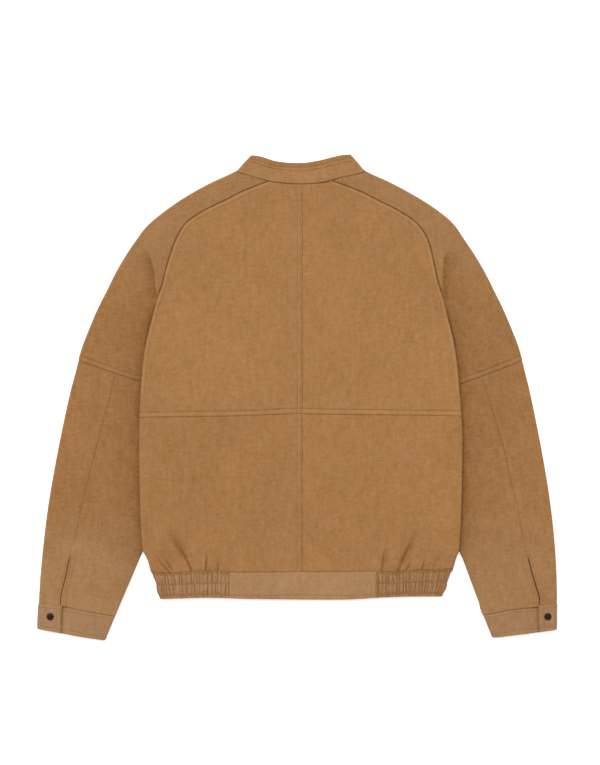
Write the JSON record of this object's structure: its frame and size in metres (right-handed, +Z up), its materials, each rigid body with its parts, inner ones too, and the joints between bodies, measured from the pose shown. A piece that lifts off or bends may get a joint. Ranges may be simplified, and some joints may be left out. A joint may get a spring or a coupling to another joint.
{
  "type": "suede jacket",
  "caption": "Tan suede blouson with raglan sleeves, a stand collar, snapped cuffs and an elasticated hem band, laid flat with its back up.",
  "frame": {"origin": "on the surface, below the middle of the garment's width and length", "axes": "+X runs across the back to the right as seen, +Y runs from the hem towards the collar, +Z is up, away from the surface it lies on"},
  "size_m": [0.8299, 0.775, 0.0113],
  "materials": {
    "body suede": "tan suede, matt, with a fine nap",
    "sleeve suede": "tan suede, matt, a little darker",
    "band suede": "tan suede, matt, a little lighter and greyer",
    "snap enamel": "dark brown enamelled metal cap"
  },
  "bodies": {
    "root": {"back_upper_left": "body suede", "back_lower_left": "body suede", "front_left": "body suede", "sleeve_upper_left": "sleeve suede", "sleeve_lower_outer_left": "sleeve suede", "sleeve_lower_inner_left": "sleeve suede", "cuff_left": "band suede", "cuff_snap_left": "snap enamel", "hem_band_front_left": "band suede", "hem_elastic_left": "band suede", "back_upper_right": "body suede", "back_lower_right": "body suede", "front_right": "body suede", "sleeve_upper_right": "sleeve suede", "sleeve_lower_outer_right": "sleeve suede", "sleeve_lower_inner_right": "sleeve suede", "cuff_right": "band suede", "cuff_snap_right": "snap enamel", "hem_band_front_right": "band suede", "hem_elastic_right": "band suede", "hem_band_back": "band suede", "collar": "band suede"}
  },
  "joints": []
}
